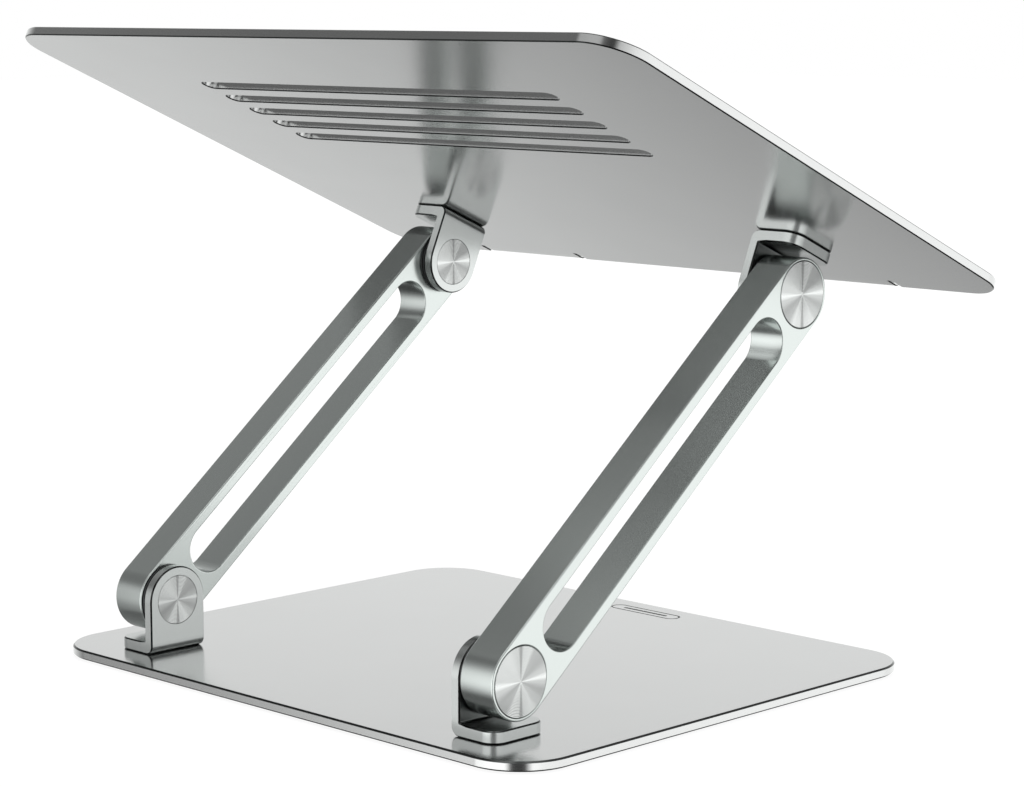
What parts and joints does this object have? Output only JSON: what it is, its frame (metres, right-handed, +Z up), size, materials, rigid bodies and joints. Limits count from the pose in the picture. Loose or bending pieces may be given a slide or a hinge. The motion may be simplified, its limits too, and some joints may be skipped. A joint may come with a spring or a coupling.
{
  "type": "laptop stand",
  "caption": "Folding laptop stand: a rounded base plate, two slotted arms on friction hinges and a tilting vented tray with two front hooks.",
  "frame": {"origin": "on the desk, under the middle of the opened stand's bounding box", "axes": "+X along the hinge axes to the right as seen from behind, +Y to the front where the hooks are, +Z up"},
  "size_m": [0.28, 0.204, 0.2118],
  "materials": {
    "aluminium": "bead-blasted and anodised, semi-gloss",
    "turned_aluminium": "face-turned, fine concentric marks",
    "steel": "zinc plated",
    "spring_steel": "oiled spring steel",
    "friction_plastic": "matt bearing plastic",
    "silicone": "matt silicone"
  },
  "bodies": {
    "base": {"base_plate": "aluminium", "base_pad_front_left": "silicone", "base_pad_front_right": "silicone", "base_pad_rear_left": "silicone", "base_pad_rear_right": "silicone", "lower_bracket_left": "aluminium", "lower_shaft_left": "steel", "lower_pressure_washer_left": "steel", "lower_spring_washer_left": "spring_steel", "lower_nut_left": "steel", "lower_friction_washer_left": "friction_plastic", "lower_inner_cap_left": "turned_aluminium", "lower_screw_front_left": "steel", "lower_screw_rear_left": "steel", "lower_bracket_right": "aluminium", "lower_shaft_right": "steel", "lower_pressure_washer_right": "steel", "lower_spring_washer_right": "spring_steel", "lower_nut_right": "steel", "lower_friction_washer_right": "friction_plastic", "lower_inner_cap_right": "turned_aluminium", "lower_screw_front_right": "steel", "lower_screw_rear_right": "steel"},
    "arm_left": {"arm_left": "aluminium", "lower_outer_cap_left": "turned_aluminium", "upper_outer_cap_left": "turned_aluminium"},
    "arm_right": {"arm_right": "aluminium", "lower_outer_cap_right": "turned_aluminium", "upper_outer_cap_right": "turned_aluminium"},
    "tray": {"tray_plate": "aluminium", "upper_bracket_left": "aluminium", "upper_shaft_left": "steel", "upper_pressure_washer_left": "steel", "upper_spring_washer_left": "spring_steel", "upper_nut_left": "steel", "upper_friction_washer_left": "friction_plastic", "upper_inner_cap_left": "turned_aluminium", "upper_screw_front_left": "steel", "upper_screw_rear_left": "steel", "upper_bracket_right": "aluminium", "upper_shaft_right": "steel", "upper_pressure_washer_right": "steel", "upper_spring_washer_right": "spring_steel", "upper_nut_right": "steel", "upper_friction_washer_right": "friction_plastic", "upper_inner_cap_right": "turned_aluminium", "upper_screw_front_right": "steel", "upper_screw_rear_right": "steel", "tray_pad_left": "silicone", "hook_pad_left": "silicone", "tray_pad_right": "silicone", "hook_pad_right": "silicone"}
  },
  "joints": [
    {"name": "arm_left_fold", "type": "hinge", "parent": "base", "child": "arm_left", "pos_m": [-0.0832, -0.07906, 0.02155], "axis": [1, 0, 0], "range_deg": [-39.12, 50.88]},
    {"name": "arm_right_fold", "type": "hinge", "parent": "base", "child": "arm_right", "pos_m": [0.0832, -0.07906, 0.02155], "axis": [1, 0, 0], "range_deg": [-39.12, 50.88]},
    {"name": "tray_tilt", "type": "hinge", "parent": "arm_left", "child": "tray", "pos_m": [-0.0832, 0.05027, 0.12673], "axis": [1, 0, 0], "range_deg": [-50, 62.87]}
  ],
  "couplings": [
    {"joint": "arm_right_fold", "follows": "arm_left_fold", "ratio": 1}
  ]
}
